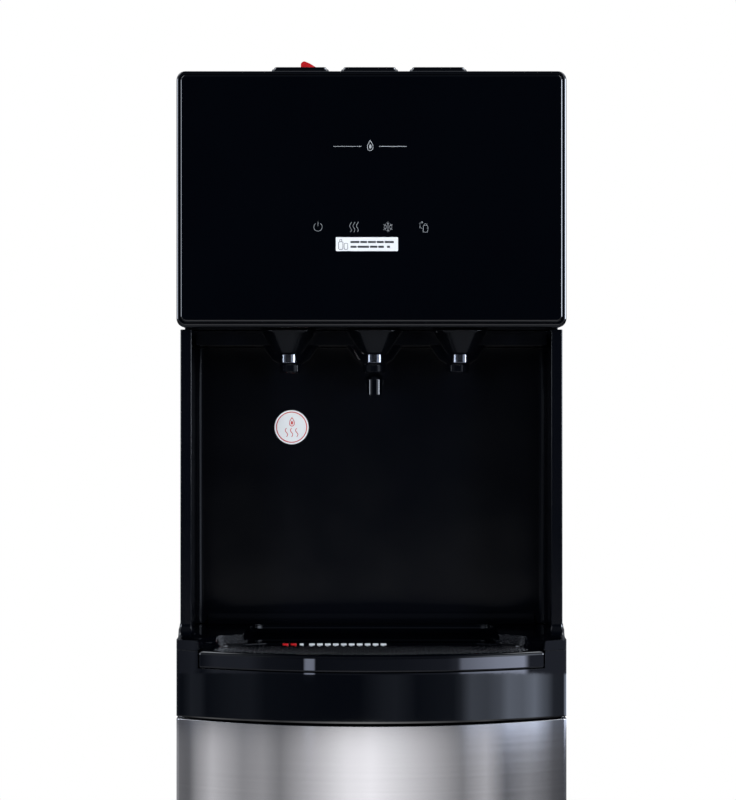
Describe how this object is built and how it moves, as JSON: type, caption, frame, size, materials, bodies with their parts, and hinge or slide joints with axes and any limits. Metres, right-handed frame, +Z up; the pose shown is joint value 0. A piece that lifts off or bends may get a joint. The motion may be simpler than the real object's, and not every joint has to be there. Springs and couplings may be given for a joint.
{
  "type": "bottom-loading water dispenser",
  "caption": "Tall black floor-standing water dispenser with hot, room and cold taps over a recess with a drip tray, and a curved stainless bottle door.",
  "frame": {"origin": "centre of the footprint box at floor level", "axes": "+Z up, -Y out of the front, +X to the right as the front is faced"},
  "size_m": [0.312, 0.36, 1.07],
  "materials": {
    "gloss_black": "high gloss moulded",
    "satin_black": "satin moulded",
    "matte_black": "fine textured",
    "painted_side": "black powder coat, low sheen",
    "stainless": "brushed, vertical reflections",
    "polished_steel": "polished",
    "galvanised": "zinc coated sheet",
    "black_steel": "black enamel",
    "rubber": "moulded",
    "foam": "expanded bead foam",
    "red_plastic": "gloss moulded",
    "light_guide": "clear moulded",
    "circuit_board": "solder mask",
    "blue_plastic": "moulded",
    "clear_tube": "translucent tube"
  },
  "bodies": {
    "cabinet": {"foot_front_left": "rubber", "foot_front_right": "rubber", "foot_rear_left": "rubber", "foot_rear_right": "rubber", "base_pan": "matte_black", "button_carrier": "matte_black", "water_pump": "matte_black", "switch_housing": "matte_black", "power_inlet": "matte_black", "door_catch": "matte_black", "side_panel_left": "painted_side", "side_panel_right": "painted_side", "compartment_back_wall": "galvanised", "mid_shelf": "galvanised", "rear_panel": "galvanised", "condenser_grid": "black_steel", "compressor": "black_steel", "front_apron": "gloss_black", "nozzle_hot": "gloss_black", "nozzle_room": "gloss_black", "nozzle_cold": "gloss_black", "head_shell": "gloss_black", "head_front_panel": "gloss_black", "drip_deck": "satin_black", "recess_liner": "satin_black", "nozzle_housing": "satin_black", "overflow_spout": "satin_black", "valve_hot": "satin_black", "valve_room": "satin_black", "valve_cold": "satin_black", "top_cover": "satin_black", "probe_clip": "satin_black", "drain_outlet": "satin_black", "nozzle_tip_hot": "polished_steel", "nozzle_tip_room": "polished_steel", "nozzle_tip_cold": "polished_steel", "button_spring_hot": "polished_steel", "button_spring_room": "polished_steel", "button_spring_cold": "polished_steel", "cold_tank": "polished_steel", "hot_tank": "polished_steel", "hinge_pin_bottom": "polished_steel", "hinge_pin_top": "polished_steel", "indicator_light_guide": "light_guide", "control_board": "circuit_board", "cold_tank_insulation": "foam", "probe_cap": "blue_plastic", "probe_tube": "clear_tube", "probe_hose": "clear_tube"},
    "button_hot": {"button_hot": "gloss_black"},
    "button_room": {"button_room": "gloss_black"},
    "button_cold": {"button_cold": "gloss_black"},
    "child_lock": {"child_lock": "red_plastic"},
    "door": {"door_skin": "stainless", "door_liner": "satin_black"},
    "drip_tray": {"drip_tray": "gloss_black"},
    "drip_grille": {"drip_grille": "matte_black"},
    "heating_switch": {"switch_rocker_heating": "red_plastic"},
    "cooling_switch": {"switch_rocker_cooling": "matte_black"},
    "drain_cap": {"drain_cap": "matte_black"}
  },
  "joints": [
    {"name": "hot_button_press", "type": "slide", "parent": "cabinet", "child": "button_hot", "axis": [0, 0, -1], "range_m": [0, 0.005], "stiffness_N_per_m": 400, "springref_m": -0.004, "deforming": ["button_spring_hot"]},
    {"name": "room_button_press", "type": "slide", "parent": "cabinet", "child": "button_room", "axis": [0, 0, -1], "range_m": [0, 0.005], "stiffness_N_per_m": 400, "springref_m": -0.004, "deforming": ["button_spring_room"]},
    {"name": "cold_button_press", "type": "slide", "parent": "cabinet", "child": "button_cold", "axis": [0, 0, -1], "range_m": [0, 0.005], "stiffness_N_per_m": 400, "springref_m": -0.004, "deforming": ["button_spring_cold"]},
    {"name": "child_lock_slide", "type": "slide", "parent": "button_hot", "child": "child_lock", "axis": [-1, 0, 0], "range_m": [0, 0.005]},
    {"name": "door_hinge", "type": "hinge", "parent": "cabinet", "child": "door", "pos_m": [-0.149, -0.126, 0.29], "axis": [0, 0, -1], "range_deg": [0, 110]},
    {"name": "drip_tray_slide", "type": "slide", "parent": "cabinet", "child": "drip_tray", "axis": [0, -1, 0], "range_m": [0, 0.11]},
    {"name": "drip_grille_lift", "type": "slide", "parent": "drip_tray", "child": "drip_grille", "axis": [0, 0, 1], "range_m": [0, 0.04]},
    {"name": "heating_switch_rock", "type": "hinge", "parent": "cabinet", "child": "heating_switch", "pos_m": [-0.106, 0.163, 0.9275], "axis": [1, 0, 0], "range_deg": [0, 18]},
    {"name": "cooling_switch_rock", "type": "hinge", "parent": "cabinet", "child": "cooling_switch", "pos_m": [-0.084, 0.163, 0.9275], "axis": [1, 0, 0], "range_deg": [0, 18]},
    {"name": "drain_cap_turn", "type": "hinge", "parent": "cabinet", "child": "drain_cap", "pos_m": [0.1, 0.172, 0.6], "axis": [0, 1, 0], "continuous": true}
  ]
}
